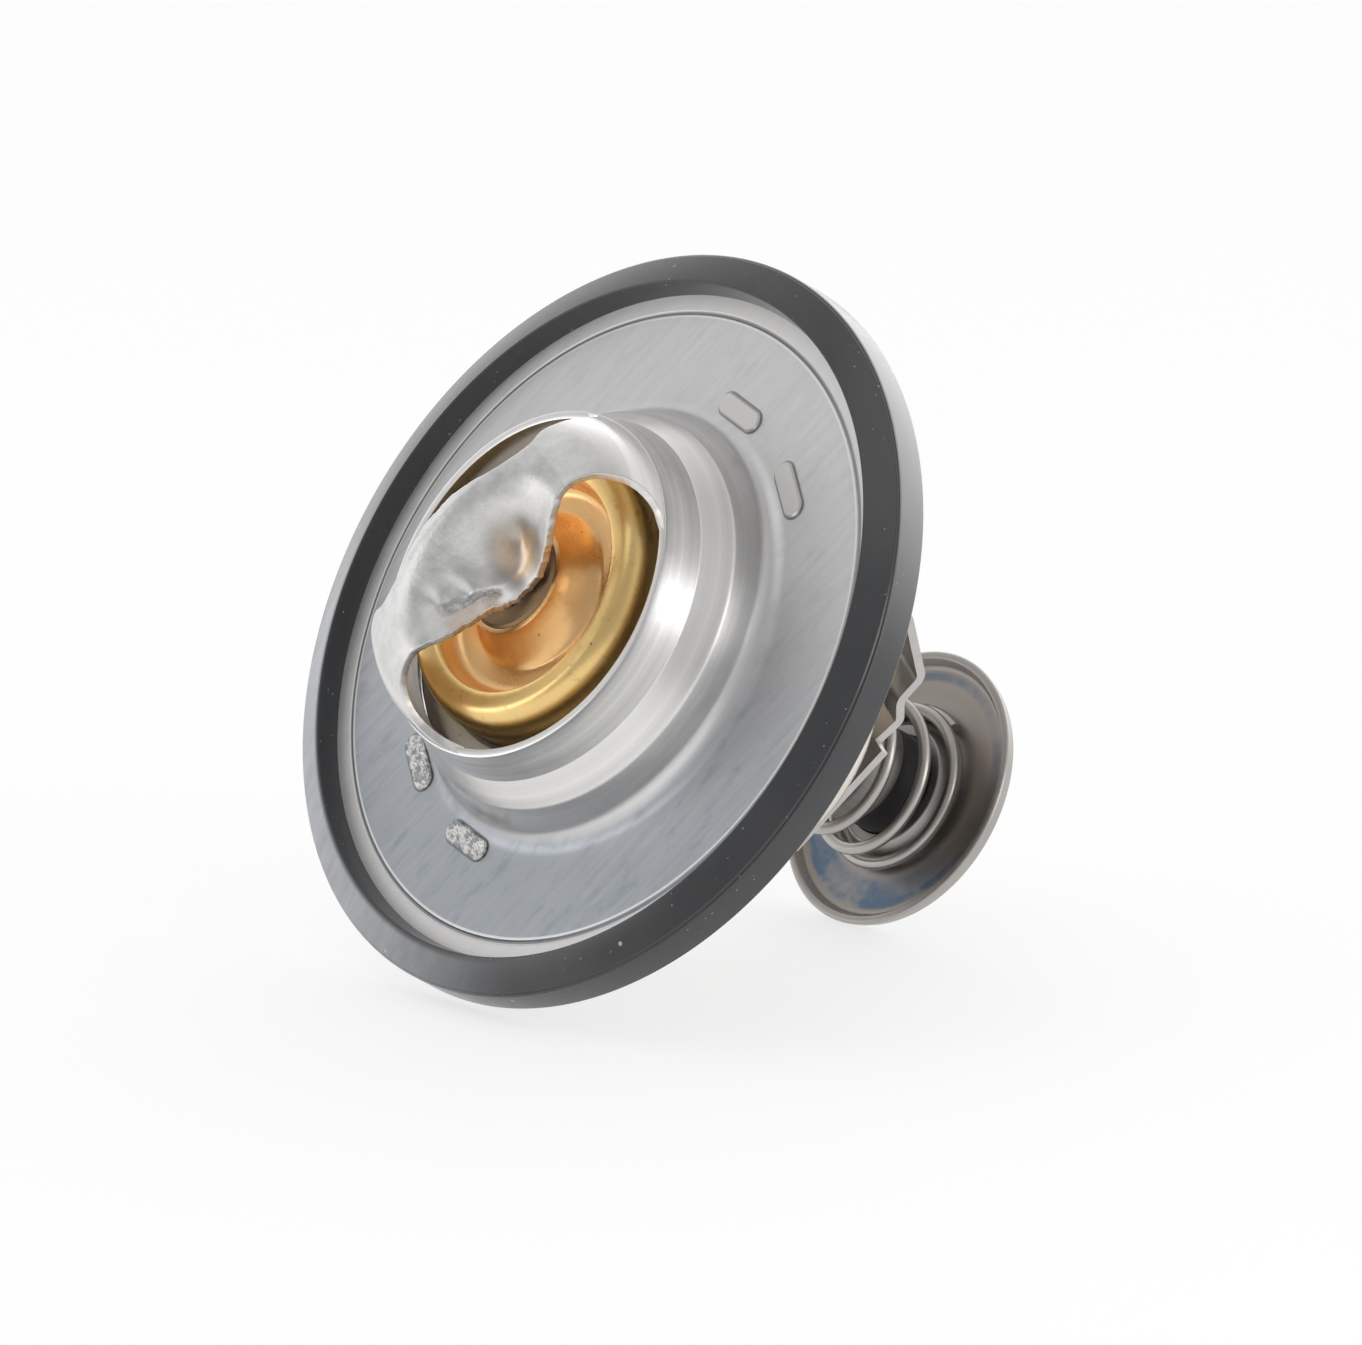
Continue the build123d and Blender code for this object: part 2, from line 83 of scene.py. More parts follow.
def bell(distance, width):
    """Bell curve exp(-(d/w)^2), 1 in the middle."""
    return np.exp(-(distance / width) ** 2)


def curve_through(points, at):
    """Smooth line through (x, y) points: cubic runs whose slopes are the neighbours' chords."""
    x, y = np.array(points, float).T
    slope = np.gradient(y, x)
    cell = np.clip(np.searchsorted(x, at, side="right") - 1, 0, len(x) - 2)
    width = x[cell + 1] - x[cell]
    s = np.clip((at - x[cell]) / width, 0, 1)
    start = (1 + 2 * s) * (1 - s) ** 2 * y[cell] + s * (1 - s) ** 2 * width * slope[cell]
    end = s * s * (3 - 2 * s) * y[cell + 1] + s * s * (s - 1) * width * slope[cell + 1]
    return start + end


# %% [markdown]
# A pressed or turned edge is never sharp. A profile is written as its corners with a
# bend radius for each, and this helper swaps every corner for a short arc. That keeps
# the numbers readable and gives the light something to catch.

# %% Profiles with rounded corners
def rounded(corners, bends, steps=7, closed=True):
    """Line through the corners, each corner replaced by an arc tangent to both of its runs.

    The arc starts bend / tan(half angle) before the corner. Its centre lies on the bisector.
    """
    corners = np.array(corners, float)
    line = []
    for i, (corner, bend) in enumerate(zip(corners, bends)):
        if bend == 0 or (not closed and i in (0, len(corners) - 1)):
            line.append(corner[None])
            continue
        back, ahead = corners[i - 1] - corner, corners[(i + 1) % len(corners)] - corner
        back, ahead = back / np.linalg.norm(back), ahead / np.linalg.norm(ahead)
        half = math.acos(np.clip(back @ ahead, -1, 1)) / 2
        centre = corner + (back + ahead) / np.linalg.norm(back + ahead) * bend / math.sin(half)
        first = corner + back * bend / math.tan(half) - centre
        last = corner + ahead * bend / math.tan(half) - centre
        sweep = math.pi - 2 * half
        share = np.linspace(0, 1, steps)[:, None]
        spoke = np.sin((1 - share) * sweep) * first + np.sin(share * sweep) * last
        line.append(centre + spoke / math.sin(sweep))
    return np.concatenate(line)


def eased(start, end, start_way, end_way, count=20):
    """Cubic from start to end that leaves and arrives along the given directions."""
    s = np.linspace(0, 1, count)[:, None]
    start, end, start_way, end_way = map(np.array, (start, end, start_way, end_way))
    return ((1 + 2 * s) * (1 - s) ** 2 * start + s * (1 - s) ** 2 * start_way
            + s * s * (3 - 2 * s) * end + s * s * (s - 1) * end_way)


def divided(line, longest):
    """Add points on an open line, so that no run is longer than the given length."""
    runs = []
    for a, b in zip(line[:-1], line[1:]):
        parts = max(1, math.ceil(np.linalg.norm(b - a) / longest))
        runs.append(a + (b - a) * (np.arange(parts) / parts)[:, None])
    return np.concatenate(runs + [line[-1:]])


# %% [markdown]
# Every new piece ends up in one function that makes the Blender mesh from a grid of
# points. Neighbours are joined with quads, and a grid can close on itself in either
# direction, as a ring does. Doubled points are merged, so poles are closed too.

# %% Grids into meshes
SHARP = math.radians(38)
MERGE_M, EMPTY_M = 1e-7, 1e-8
RING_TURNS = 288
LONGEST_RUN = 1.0
skins = {}


def grid_faces(rows, columns, wrap_rows, wrap_columns, start=0):
    """Quads of a grid of points: each point with its right, upper right and upper neighbour."""
    r = np.arange(rows if wrap_rows else rows - 1)[:, None]
    c = np.arange(columns if wrap_columns else columns - 1)[None, :]
    r2, c2 = (r + 1) % rows, (c + 1) % columns
    quads = np.stack(np.broadcast_arrays(r * columns + c, r * columns + c2,
                                         r2 * columns + c2, r2 * columns + c), -1)
    return quads.reshape(-1, 4) + start


def tidy_mesh(mesh):
    """Merge doubled points, drop empty faces, turn faces outwards and mark sharp edges."""
    work = bmesh.new()
    work.from_mesh(mesh)
    bmesh.ops.remove_doubles(work, verts=work.verts, dist=MERGE_M)
    bmesh.ops.dissolve_degenerate(work, dist=EMPTY_M, edges=work.edges)
    bmesh.ops.recalc_face_normals(work, faces=work.faces)
    work.to_mesh(mesh)
    work.free()
    mesh.polygons.foreach_set("use_smooth", np.ones(len(mesh.polygons), bool))
    mesh.set_sharp_from_angle(angle=SHARP)


def make_piece(name, points, quads, node):
    """Mesh object in metres from points in millimetres, riding where its CAD node rides."""
    mesh = bpy.data.meshes.new(name)
    mesh.from_pydata(np.asarray(points, float).reshape(-1, 3) * MM, [], quads.tolist())
    piece = bpy.data.objects.new(name, mesh)
    bpy.context.scene.collection.objects.link(piece)
    tidy_mesh(mesh)
    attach(piece, frame["nodes"][node]["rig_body"])
    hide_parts(node)
    skins[node] = piece
    print(f"{name}: {len(mesh.polygons)} faces, stands for {node}")
    return piece


def turned_points(line, turns):
    """Points of a closed (radius, height) line turned round Z: x = r cos a, y = r sin a, z = h."""
    angle = np.arange(turns)[:, None] * ROUND / turns
    r, z = line[None, :, 0], line[None, :, 1]
    return np.stack([r * np.cos(angle), r * np.sin(angle), z + 0 * angle], -1)


def turned(name, line, node, turns=RING_TURNS):
    """Turned piece from a closed line."""
    quads = grid_faces(turns, len(line), True, True)
    return make_piece(name, turned_points(line, turns), quads, node)


# %% [markdown]
# The housing starts as a flat disc of stainless sheet. The press forms a flange, a
# steep riser, a sloping ledge that the valve seals against, a wall that leans in, and a
# crown. Near its edge the flange has a fine coined step, and the band outside it stays
# matte and a little lower.

# %% The housing's outer line
SHEET = 0.8
FLANGE_R = 31.8
RIM_Z = -0.1
RIM_IN_R, STEP_OUT_R, STEP_IN_R, FLAT_R = 28.7, 28.62, 28.36, 28.2
STEP_OUT_Z, STEP_IN_Z = -0.16, -0.14
RISER_R = 19.1
LEDGE_LOW, LEDGE_TOP = (18.0, 3.9), (16.35, 6.3)
WALL_LEAN = 0.95 / 4.1
CROWN_TOP = 18.7
CROWN_R = 24.3
CROWN_EDGE_R = 12.0
CUT_Z = 10.0
RIM_BENDS = [0, 0.05, 0.04, 0.05, 0.1]
DOME_BENDS = [2.2, 1.2, 0.5]
SHOULDER_SHARE = 0.999
SAME_POINT = 1e-4


def crown_z(radius):
    """Height of the crown, a cap of a ball: top - R + sqrt(R^2 - r^2)."""
    return CROWN_TOP - CROWN_R + np.sqrt(CROWN_R ** 2 - radius ** 2)


def dome_line():
    """Outer line from the flange's edge to the axis. The shoulder is tangent to wall and crown.

    The wall and the crown's tangent at its edge meet in one point, and the shoulder's arc
    round that point ends a hair short of the crown's edge.
    """
    edge = np.array([CROWN_EDGE_R, crown_z(CROWN_EDGE_R)])
    fall = CROWN_EDGE_R / math.sqrt(CROWN_R ** 2 - CROWN_EDGE_R ** 2)
    ledge = np.array(LEDGE_TOP)
    drop = fall * (ledge[0] + WALL_LEAN * ledge[1] - edge[0])
    meet_z = (edge[1] - drop) / (1 - fall * WALL_LEAN)
    meet = np.array([ledge[0] - WALL_LEAN * (meet_z - ledge[1]), meet_z])
    tangent = np.linalg.norm(edge - meet)
    way, over = (meet - ledge) / np.linalg.norm(meet - ledge), (edge - meet) / tangent
    shoulder = tangent / math.tan(math.acos(way @ over) / 2) * SHOULDER_SHARE
    corners = [(FLANGE_R, RIM_Z), (RIM_IN_R, RIM_Z), (STEP_OUT_R, STEP_OUT_Z),
               (STEP_IN_R, STEP_IN_Z), (FLAT_R, 0), (RISER_R, 0), LEDGE_LOW, ledge, meet, edge]
    line = rounded(corners, RIM_BENDS + DOME_BENDS + [shoulder, 0], 9, closed=False)
    radii = np.linspace(CROWN_EDGE_R, 0, 30)[1:]
    return np.concatenate([line, np.stack([radii, crown_z(radii)], -1)])


def moved_in(line, distance):
    """The line moved along its own normal, which is its tangent turned a quarter to the left."""
    along = np.gradient(line, axis=0)
    along /= np.linalg.norm(along, axis=1, keepdims=True)
    return line + distance * np.stack([-along[:, 1], along[:, 0]], -1)


outer = divided(dome_line(), LONGEST_RUN)
steps_along = np.linalg.norm(np.diff(outer, axis=0), axis=1)
outer = outer[np.concatenate([[True], steps_along > SAME_POINT])]
print("points on the housing's line:", len(outer))

# %% [markdown]
# Below the windows the housing is a full ring, so it is a turned piece: the outer line
# up to the windows' lower edge, a softened cut edge, and back down the inner line. The
# inner line skips the coined step, which is only pressed into the outer face.

# %% Flange and lower dome
EDGE_SOFT = 0.12
STEP_UNDER = (28.2, 28.65)


def lower_section():
    """Closed section of the flange and lower dome."""
    inner = moved_in(outer, SHEET)
    inner = inner[(outer[:, 0] < STEP_UNDER[0]) | (outer[:, 0] > STEP_UNDER[1])]
    outside = outer[outer[:, 1] < CUT_Z - EDGE_SOFT]
    inside = inner[(inner[:, 1] < CUT_Z - EDGE_SOFT) & (inner[:, 0] > CROWN_EDGE_R)]
    wall_out, wall_in = outside[-1, 0], inside[-1, 0]
    side, below = EDGE_SOFT * 0.35, CUT_Z - EDGE_SOFT * 0.3
    cut = [(wall_out - side, below), (wall_out - EDGE_SOFT, CUT_Z),
           (wall_in + EDGE_SOFT, CUT_Z), (wall_in + side, below)]
    return np.concatenate([outside, cut, inside[::-1]])


lower = lower_section()
lower_points = turned_points(lower, RING_TURNS)

# %% [markdown]
# The strap is what the two windows leave of the dome. Its grid runs over the dome from
# foot to foot, and across from the front cut to the rear cut. A row of the grid lies in
# a plane through a line parallel to Y at the windows' lower edge. The plane is level at
# the feet and upright at the top, so rows stay even on the steep wall and the crown.
# Each edge is a table of a lean in degrees and the edge's distance from the middle.

# %% The strap's cut edges
FRONT_EDGE = [(0, 3.2), (19.5, 3.2), (37, 3.1), (48, 2.6), (56, 2.1), (62, 2.0), (67.2, 2.2),
              (73.6, 3.0), (80.3, 4.0), (84.5, 4.9), (87.5, 5.9), (89.3, 7.0), (90, 8.0)]
REAR_EDGE = [(0, 5.4), (14, 5.4), (25, 5.0), (37, 4.4), (50, 4.2), (57, 4.5), (62, 5.2),
             (70, 5.4), (80, 5.6), (84.5, 6.0), (87.5, 6.7), (89.3, 7.6), (90, 8.5)]
LEAN_STEPS, CROSS_STEPS = 241, 53
TEARS = [(7, 0.05), (19, 0.07), (43, 0.06), (83, 0.035), (131, 0.02)]
TORN_SPAN = 55
FRONT_PHASE, REAR_PHASE, REAR_TORN = 1.3, 2.9, 0.4


def ragged(lean, phase):
    """Small tearing along a cut edge: a sum of sines of (wave, height), strongest at the top."""
    tears = sum(high * np.sin(wave * lean + phase * wave) for wave, high in TEARS)
    return bell(np.degrees(lean), TORN_SPAN) * tears


lean = np.radians(np.linspace(-90, 90, LEAN_STEPS))[:, None]
degrees = np.degrees(np.abs(lean))
front = -curve_through(FRONT_EDGE, degrees) + ragged(lean, FRONT_PHASE)
rear = curve_through(REAR_EDGE, degrees) + REAR_TORN * ragged(lean, REAR_PHASE)
across = front + (rear - front) * np.linspace(0, 1, CROSS_STEPS)[None, :]

# %% [markdown]
# The tool that fixed the element pressed the strap's front half down onto the piston.
# It left a trough that is open to the front, with its deepest place over the piston, and
# rough punch marks beside it. The rear edge stayed up as a ridge. DEPTHS gives x and the
# trough's depth, and PUNCHES each mark's x, y, depth and widths along x and y.

# %% The strap's surface
PUNCHES = [(3.4, 0.5, 0.9, 1.5, 1.2), (-3.3, -0.4, 0.7, 0.8, 1.1), (-5.6, 0.6, 0.35, 0.8, 1.0)]
DEPTHS = [(-10.6, 0), (-9.2, 0.25), (-7.6, 1.0), (-5.9, 2.1), (-4.2, 3.1), (-2.6, 4.0),
          (-1.4, 5.0), (-0.2, 5.6), (1.1, 5.75), (2.4, 5.4), (3.8, 4.6), (5.4, 3.2), (7.2, 1.7),
          (8.7, 0.6), (10.2, 0)]
RIDGE_Y, SLOPE_WIDE = 4.6, 6.4
WALL_REACH = 16.4
FARTHEST, HALVINGS = 20.0, 40


def dome_height(radius):
    """Height of the outer line at a radius, read from the line itself."""
    upper = outer[outer[:, 0] < WALL_REACH]
    order = np.argsort(upper[:, 0])
    return np.interp(radius, upper[order, 0], upper[order, 1])


def on_dome(lean, y):
    """Point where the plane leaning by an angle meets the dome, at a given y.

    Along the plane x = d sin(lean) and z = cut + d cos(lean). The distance d is found by
    halving: a point is outside the dome when its z is above the dome's at that radius.
    """
    low, high = np.zeros_like(y), np.full_like(y, FARTHEST)
    for _ in range(HALVINGS):
        d = (low + high) / 2
        outside = CUT_Z + d * np.cos(lean) > dome_height(np.hypot(d * np.sin(lean), y))
        high, low = np.where(outside, d, high), np.where(outside, low, d)
    return np.stack([d * np.sin(lean), y, CUT_Z + d * np.cos(lean)], -1)


def pinch(x, y):
    """How far the strap was pressed down: the trough, shallower to the rear, and the marks."""
    slope = smoothstep((RIDGE_Y - y) / SLOPE_WIDE)
    marks = sum(deep * bell(x - px, wx) * bell(y - py, wy) for px, py, deep, wx, wy in PUNCHES)
    trough = curve_through(DEPTHS, np.clip(x, DEPTHS[0][0], DEPTHS[-1][0]))
    return np.maximum(trough, 0) * slope + marks


strap_top = on_dome(np.broadcast_to(lean, across.shape).copy(), across)
strap_top[..., 2] -= pinch(strap_top[..., 0], strap_top[..., 1])
over_piston = strap_top[LEAN_STEPS // 2, :, 2]
print("strap's lowest point over the piston:", round(float(over_piston.min()), 2))


# %% [markdown]
# A thick sheet needs two faces and a cut edge all round. The inner face is the outer
# one moved along its normal. The cut edge is a little rounded, because that thin bright
# line is what shows that the part is folded sheet and not a solid block.

# %% Grids into thick sheets
EDGE_ARC = np.radians([75, 50, 25, 0])


def grid_normals(grid):
    """Unit normals of a grid: the cross product of its two directions."""
    normal = np.cross(np.gradient(grid, axis=0), np.gradient(grid, axis=1))
    return normal / np.linalg.norm(normal, axis=-1, keepdims=True)


def thick_sheet(grid, thickness, soft):
    """Section around each row: outer face, rounded edge, inner face, rounded edge."""
    normal = grid_normals(grid)
    inner = grid - thickness * normal
    edges = []
    for column, neighbour in ((-1, -2), (0, 1)):
        out = grid[:, column] - grid[:, neighbour]
        out /= np.linalg.norm(out, axis=-1, keepdims=True)
        down = -normal[:, column]
        arc = [(out * soft * np.cos(t), down * soft * (1 - np.sin(t))) for t in EDGE_ARC]
        upper = [grid[:, column] + aside + sunk for aside, sunk in arc]
        lower = [inner[:, column] + aside - sunk for aside, sunk in arc[::-1]]
        edges.append(np.stack(upper + lower, 1))
    return np.concatenate([grid, edges[0], inner[:, ::-1], edges[1][:, ::-1]], axis=1)


def sheet_quads(section, start):
    """Faces round the section, along the sheet, and over its two ends."""
    rows, columns = section.shape[:2]
    j = np.arange(columns // 2 - 1)
    caps = [start + row * columns + np.stack([j, j + 1, columns - 2 - j, columns - 1 - j], -1)
            for row in (0, rows - 1)]
    return np.concatenate([grid_faces(rows, columns, False, True, start)] + caps)


strap_section = thick_sheet(strap_top, SHEET, EDGE_SOFT)
housing_points = np.concatenate([lower_points.reshape(-1, 3), strap_section.reshape(-1, 3)])
housing_quads = np.concatenate([grid_faces(RING_TURNS, len(lower), True, True),
                                sheet_quads(strap_section, RING_TURNS * len(lower))])
housing = make_piece("housing_skin", housing_points, housing_quads, "flange_housing")

# %% [markdown]
# The gasket is moulded rubber. Its front face is a shallow cone that rises to a lip, and
# the mould left a fine step just inside its outer edge.

# %% Gasket
GASKET_R, GASKET_BACK_R, GASKET_BACK_Z = 33.5, 29.6, -2.54
MOULD_STEP = [(GASKET_R, 0.5), (33.3, 0.5), (33.26, 0.74)]
LIP_TOP, LIP_FOOT_R = (30.48, 2.0), 30.05
SLOT_R, SLOT_TOP_Z, SLOT_LOW_Z = 31.82, -0.1, -0.9

gasket_line = rounded(
    [(GASKET_R, GASKET_BACK_Z), *MOULD_STEP, LIP_TOP, (LIP_FOOT_R, SLOT_TOP_Z),
     (SLOT_R, SLOT_TOP_Z), (SLOT_R, SLOT_LOW_Z), (GASKET_BACK_R, SLOT_LOW_Z),
     (GASKET_BACK_R, GASKET_BACK_Z)],
    [0.3, 0.12, 0.04, 0.12, 0.15, 0, 0, 0, 0, 0.3])
gasket = turned("gasket_skin", gasket_line, "rim_gasket", 360)

# %% [markdown]
# The main valve is pressed brass. From the middle outwards it has a flared boss, a
# recess, a rounded ring and a thin rim that seals under the dome's ledge.

# %% Main valve and guide bush
RING_FOOT, RING_TOP = (13.1, 7.2), (11.25, 10.6)
BOSS_FOOT, BOSS_TOP = (7.2, 8.1), (5.06, 11.36)

rim = rounded([(16.99, 3.75), (16.2, 4.9), (13.1, 4.9), RING_FOOT], [0, 0.4, 0.6, 0], closed=False)
crest = eased(RING_FOOT, RING_TOP, (0, 5.4), (-3.6, 0))
lip = eased(RING_TOP, (9.98, 10.42), (-1.2, 0), (-1.0, -0.5), 8)
recess = rounded([(9.85, 10.30), (9.25, 8.1), BOSS_FOOT, (7.2, 8.2)], [0, 1.1, 0, 0], closed=False)
flare = eased(BOSS_FOOT, BOSS_TOP, (-2.6, 0.5), (-0.5, 3.4))
under = rounded([(4.92, 11.4), (4.62, 11.4), (4.62, 7.0), (9.85, 7.0), (10.1, 9.25),
                 (11.4, 9.25), (11.65, 3.8), (15.9, 3.8), (16.9, 3.72)],
                [0, 0, 0, 0.2, 0.3, 0.3, 0.3, 0.1, 0], closed=False)
valve_line = np.concatenate([rim[:-1], crest, lip[1:], recess[:-1], flare[1:], under])
valve = turned("valve_skin", divided(valve_line, LONGEST_RUN), "main_valve")

guide_line = rounded([(2.8, 11.7), (4.35, 11.7), (4.6, 11.45), (4.6, 7.0), (6.1, 7.0), (6.1, 6.2),
                      (7.35, 6.2), (7.35, 2.0), (3.9, 2.0), (3.9, 3.2), (2.8, 3.2)],
                     [0.15, 0.12, 0.12, 0, 0, 0, 0.1, 0, 0, 0, 0])
guide = turned("guide_skin", guide_line, "guide_bush", 192)

# %% [markdown]
# The bypass valve is a shallow pan whose middle is drawn up round the stem's bush.

# %% Bypass pan
PAN_FLOOR, PAN_UNDER_Z, PAN_RIM_Z = -38.55, -39.3, -37.55
PAN_BORE_R, HUB_TOP_Z, HUB_UNDER_Z = 4.48, -36.9, -37.65

pan_line = rounded(
    [(PAN_BORE_R, HUB_UNDER_Z), (5.9, HUB_UNDER_Z), (6.0, PAN_UNDER_Z), (11.95, PAN_UNDER_Z),
     (12.5, PAN_RIM_Z), (11.75, PAN_RIM_Z), (11.2, PAN_FLOOR), (6.5, PAN_FLOOR),
     (5.4, HUB_TOP_Z), (PAN_BORE_R, HUB_TOP_Z)],
    [0, 0.1, 0.3, 1.1, 0.28, 0.25, 0.5, 0.4, 0.25, 0.12])
pan = turned("pan_skin", pan_line, "bypass_valve", 256)


# %% [markdown]
# A spring is a round wire carried along a helix. The centre line is worked out for all
# steps at once, and a ring of points is set square to it at every step. The ends close
# to a point, so that the wire is shut. The stations give turns and heights, because the
# end turns lie nearly flat.

# %% Springs
WIRE_STEPS = 64
MAIN_LOW, MAIN_HIGH, MAIN_WIRE = -22.2, 2.8, 2.0
MAIN_STATIONS = [(0, MAIN_LOW), (0.7, MAIN_LOW + 0.25), (4.8, MAIN_HIGH - 0.25),
                 (5.5, MAIN_HIGH)]
SEAT_UNDER, BYPASS_WIRE = -25.95, 1.1
BYPASS_RISES = [(0, 0), (0.75, 0.5), (1.25, 1.6), (3.25, 9.7), (4.25, 11.55)]


def wound(name, wire, low_r, high_r, stations, node, ring_points=20):
    """Wire round Z: its radius changes evenly, its height follows the stations."""
    turns, heights = np.array(stations, float).T
    turn = np.linspace(0, turns[-1], int(turns[-1] * WIRE_STEPS))
    radius = low_r + (high_r - low_r) * turn / turns[-1]
    a = ROUND * turn
    height = np.interp(turn, turns, heights)
    centre = np.stack([radius * np.cos(a), radius * np.sin(a), height], -1)
    along = np.gradient(centre, axis=0)
    along /= np.linalg.norm(along, axis=1, keepdims=True)
    out = np.stack([np.cos(a), np.sin(a), 0 * a], -1)
    side = np.cross(along, out)
    t = np.arange(ring_points)[None, :, None] * ROUND / ring_points
    tube = centre[:, None] + wire / 2 * (out[:, None] * np.cos(t) + side[:, None] * np.sin(t))
    ends = [np.repeat(c[None, None], ring_points, 1) for c in (centre[0], centre[-1])]
    points = np.concatenate([ends[0], tube, ends[1]])
    return make_piece(name, points, grid_faces(len(points), ring_points, False, True), node)


main_coil = wound("main_spring_skin", MAIN_WIRE, 11.1, 13.5, MAIN_STATIONS, "main_spring")
low = PAN_FLOOR + BYPASS_WIRE / 2
rise = (SEAT_UNDER - PAN_FLOOR - BYPASS_WIRE) / BYPASS_RISES[-1][1]
bypass_stations = [(turns, low + share * rise) for turns, share in BYPASS_RISES]
bypass_coil = wound("bypass_spring_skin", BYPASS_WIRE, 7.15, 5.8, bypass_stations,
                    "bypass_spring", 16)

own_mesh(main_coil)
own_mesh(bypass_coil)


# %% [markdown]
# Materials are small networks of nodes. To keep the maths readable, one class wraps a
# socket so that + - * / on it add Math nodes, and one method makes every other node.

# %% Sockets with arithmetic
class Field:
    """A value that varies over the surface. Arithmetic on it adds Math nodes."""

    def __init__(self, nodes, socket):
        self.nodes, self.socket = nodes, socket

    def math(self, operation, *values):
        return self.nodes.node("ShaderNodeMath", {"operation": operation}, values)

    def __add__(self, other):
        return self.math("ADD", self, other)

    def __sub__(self, other):
        return self.math("SUBTRACT", self, other)

    def __rsub__(self, other):
        return self.math("SUBTRACT", other, self)

    def __mul__(self, other):
        return self.math("MULTIPLY", self, other)

    def __truediv__(self, other):
        return self.math("DIVIDE", self, other)

    def __pow__(self, other):
        return self.math("POWER", self, other)

    __radd__ = __add__
    __rmul__ = __mul__

    def __abs__(self):
        return self.math("ABSOLUTE", self)

    def ramp(self, low, high):
        """0 at low and 1 at high, eased between. Low may be the larger one."""
        values = {"Value": self, "From Min": min(low, high), "From Max": max(low, high)}
        share = self.nodes.node("ShaderNodeMapRange", {"interpolation_type": "SMOOTHSTEP"}, values)
        return share if low < high else 1 - share

    def band(self, middle, half, soft):
        """1 within half of the middle, falling to 0 over the soft width."""
        return abs(self - middle).ramp(half + soft, half)

    def held(self):
        """Held between 0 and 1."""
        return self.nodes.node("ShaderNodeClamp", {}, [self])

    def swing(self, reach):
        """A noise about 0.5 turned into one about 0, times the reach."""
        return (self - 0.5) * reach

    def contrast(self, factor):
        """A noise about 0.5 spread about that middle."""
        return self.swing(factor) + 0.5


# %% [markdown]
# A tree of nodes is built from the inside out. Each call adds one node and gives back its
# output as a value, which then goes into the next call. The finish of a piece starts
# with the shader and the object's coordinates in millimetres: x, y, z and the radius r.

# %% Node trees
class Nodes:
    """Adds nodes to one tree."""

    def __init__(self, tree):
        self.tree = tree
        tree.nodes.clear()

    def set(self, socket, value):
        if isinstance(value, Field):
            self.tree.links.new(value.socket, socket)
        else:
            socket.default_value = value

    def node(self, kind, settings, inputs, output=0):
        """A new node's output. Settings go in by name, inputs by place or by name."""
        made = self.tree.nodes.new(kind)
        for key, value in settings.items():
            setattr(made, key, value)
        for key, value in inputs.items() if isinstance(inputs, dict) else enumerate(inputs):
            self.set(made.inputs[key], value)
        return Field(self, made.outputs[output])

    def mix_shader(self, factor, first, second):
        return self.node("ShaderNodeMixShader", {}, [factor, first, second])

    def ray(self, *kinds):
        """1 for a ray of any of the kinds named, 0 for the rest."""
        fields = [self.node("ShaderNodeLightPath", {}, {}, kind) for kind in kinds]
        return sum(fields[1:], fields[0]).held()


class Finish(Nodes):
    """One material with a Principled shader. Constants go straight to the shader's sockets."""

    def __init__(self, name, **constants):
        self.material = bpy.data.materials.new(name)
        self.material.use_nodes = True
        super().__init__(self.material.node_tree)
        self.skin = self.node("ShaderNodeBsdfPrincipled", {}, {})
        self.shader = self.skin.socket.node
        self.out = self.tree.nodes.new("ShaderNodeOutputMaterial")
        self.set(self.out.inputs[0], self.skin)
        for socket, value in constants.items():
            self.shader.inputs[socket.replace("_", " ")].default_value = value
        self.place = self.node("ShaderNodeTexCoord", {}, {}, "Object")
        parts = self.node("ShaderNodeSeparateXYZ", {}, [self.place]).socket.node.outputs
        self.x, self.y, self.z = (Field(self, parts[i]) * 1000 for i in range(3))
        self.r = (self.x * self.x + self.y * self.y) ** 0.5
        self.relief = None

    def noise(self, scale, detail=4.0, rough=0.55, vector=None):
        """Noise about 0.5, in the object's coordinates or in the given ones."""
        values = {"Vector": vector or self.place, "Scale": scale, "Detail": detail}
        return self.node("ShaderNodeTexNoise", {}, {**values, "Roughness": rough})

    def streaks(self, scales, detail, rough):
        """Noise with its own scale along each axis, which stretches its cells."""
        place = self.node("ShaderNodeMapping", {}, {"Vector": self.place, "Scale": scales})
        return self.noise(1.0, detail, rough, place)

    def rings(self, scale):
        """Noise of radius and height only, so that it runs round the axis."""
        across, up = self.r * (scale * MM), self.z * (scale * MM)
        place = self.node("ShaderNodeCombineXYZ", {}, [across, 0.0, up])
        return self.noise(1.0, 4, 0.6, place)

    def specks(self, scale, size, share):
        """Small round dots: near the cell points, and only where a noise picks the cell."""
        values = {"Vector": self.place, "Scale": scale}
        near = self.node("ShaderNodeTexVoronoi", {"feature": "F1"}, values)
        picked = self.noise(scale * 0.7, 1).ramp(share, share + 0.05)
        return near.ramp(size, size * 0.6) * picked

    def mix(self, factor, first, second):
        """Mix of two colours, plain or varying: the first where the factor is 0.

        Inputs 0, 6 and 7 of the node are the factor and the two colours, and output 2 is
        the mixed colour. A plain colour is red, green and blue, and gets full alpha here.
        """
        made = self.tree.nodes.new("ShaderNodeMix")
        made.data_type = "RGBA"
        for place, value in zip((0, 6, 7), (factor, first, second)):
            self.set(made.inputs[place], (*value, 1) if isinstance(value, tuple) else value)
        return Field(self, made.outputs[2])

    def bump(self, height, strength, depth):
        """Adds relief: a height between 0 and 1 times the depth in millimetres."""
        values = {"Height": height, "Strength": strength, "Distance": depth * MM}
        if self.relief:
            values["Normal"] = self.relief
        self.relief = self.node("ShaderNodeBump", {}, values)
        self.set(self.shader.inputs["Normal"], self.relief)

    def surface(self, **values):
        """Sets or links the shader's varying sockets and gives the material back."""
        for socket, value in values.items():
            self.set(self.shader.inputs[socket.replace("_", " ")], value)
        return self.material


